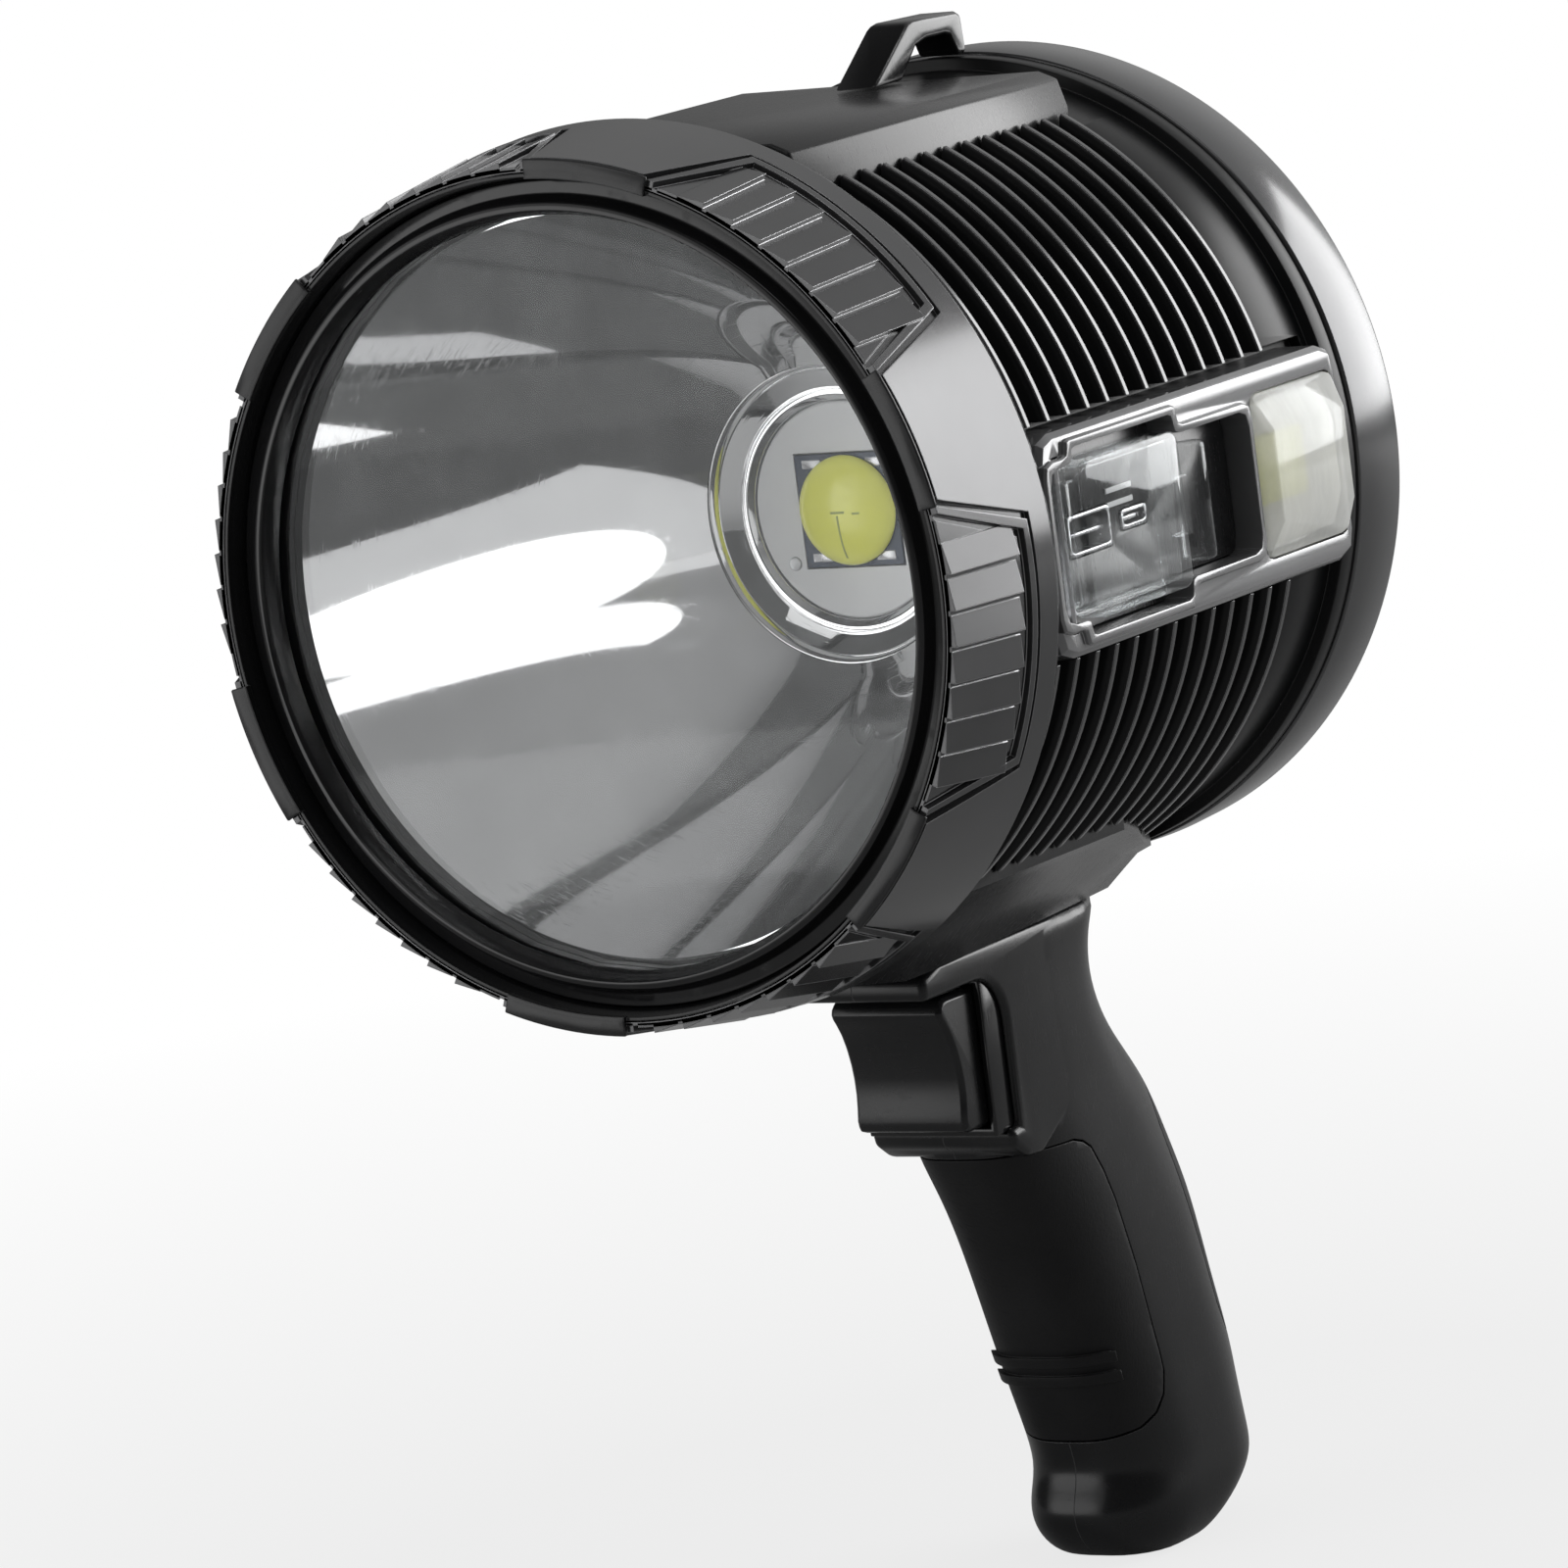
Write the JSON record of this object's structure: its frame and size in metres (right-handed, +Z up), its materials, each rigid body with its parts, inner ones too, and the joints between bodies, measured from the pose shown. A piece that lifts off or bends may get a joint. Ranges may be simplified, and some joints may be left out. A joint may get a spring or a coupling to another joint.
{
  "type": "handheld searchlight",
  "caption": "Pistol-grip searchlight with a deep reflector head, turning ribbed bezel, finned barrel, side work light and covered charging ports.",
  "frame": {"origin": "middle of the grip foot's flat underside, in the lamp's middle plane", "axes": "+Z up, parallel to the foot's normal; the beam leaves along -Y; +X is the side with the panel and the ports"},
  "size_m": [0.1559, 0.1681, 0.282],
  "materials": {
    "black_plastic": "fine-textured black moulded plastic",
    "gloss_black": "smooth glossy black plastic",
    "satin_grey": "satin metallic grey paint on plastic",
    "soft_rubber": "soft matt black rubber",
    "lens_glass": "clear polished front lens",
    "clear_plastic": "clear polished plastic",
    "mirror_coat": "vacuum-metallised mirror surface",
    "pale_enamel": "pale grey enamel",
    "board_blue": "dark blue solder mask",
    "board_green": "green solder mask",
    "phosphor": "yellow-green phosphor under silicone",
    "cast_aluminium": "plain die-cast aluminium",
    "cell_wrap": "blue film over the cell's can",
    "steel": "bright plated steel"
  },
  "bodies": {
    "lamp": {"barrel_housing": "black_plastic", "battery_tray_upper": "black_plastic", "battery_tray_lower": "black_plastic", "top_rail": "black_plastic", "port_tray": "black_plastic", "rear_cover": "black_plastic", "saddle": "black_plastic", "trigger_switch": "black_plastic", "grip_right": "black_plastic", "grip_left": "black_plastic", "strap_loop": "gloss_black", "trigger_guide": "gloss_black", "side_panel": "satin_grey", "rear_ring": "satin_grey", "lens_seal": "soft_rubber", "rear_seal": "soft_rubber", "grip_insert": "soft_rubber", "rear_strip": "soft_rubber", "front_lens": "lens_glass", "side_light_lens": "clear_plastic", "reflector": "mirror_coat", "reflector_collar": "mirror_coat", "emitter_plate": "pale_enamel", "side_light_board": "pale_enamel", "emitter_board": "board_blue", "driver_board": "board_green", "charge_board": "board_green", "emitter_dome": "phosphor", "side_light_emitter": "phosphor", "heat_sink": "cast_aluminium", "battery_cell_1": "cell_wrap", "battery_cell_2": "cell_wrap", "battery_cell_3": "cell_wrap", "battery_cell_4": "cell_wrap", "power_socket": "steel", "charge_socket": "steel", "port_cover_pin": "steel", "rear_screw_1": "steel", "rear_screw_2": "steel", "rear_screw_3": "steel", "rear_screw_4": "steel", "grip_screw_1": "steel", "grip_screw_2": "steel", "grip_screw_3": "steel", "grip_screw_4": "steel"},
    "bezel": {"bezel_ring": "satin_grey", "bezel_trim": "black_plastic", "lens_retainer": "gloss_black"},
    "trigger": {"trigger": "black_plastic"},
    "plunger": {"switch_plunger": "steel"},
    "cover": {"port_cover": "clear_plastic"}
  },
  "joints": [
    {"name": "bezel_turn", "type": "hinge", "parent": "lamp", "child": "bezel", "pos_m": [0, -0.12, 0.2005], "axis": [0, -1, 0], "continuous": true},
    {"name": "trigger_slide", "type": "slide", "parent": "lamp", "child": "trigger", "axis": [0, 1, 0], "range_m": [0, 0.004], "stiffness_N_per_m": 600, "springref_m": -0.003},
    {"name": "plunger_slide", "type": "slide", "parent": "lamp", "child": "plunger", "axis": [0, 1, 0], "range_m": [0, 0.004]},
    {"name": "port_cover_hinge", "type": "hinge", "parent": "lamp", "child": "cover", "pos_m": [0.0746, -0.103, 0.2005], "axis": [0, 0, -1], "range_deg": [0, 100]}
  ],
  "couplings": [
    {"joint": "plunger_slide", "follows": "trigger_slide", "ratio": 1}
  ]
}
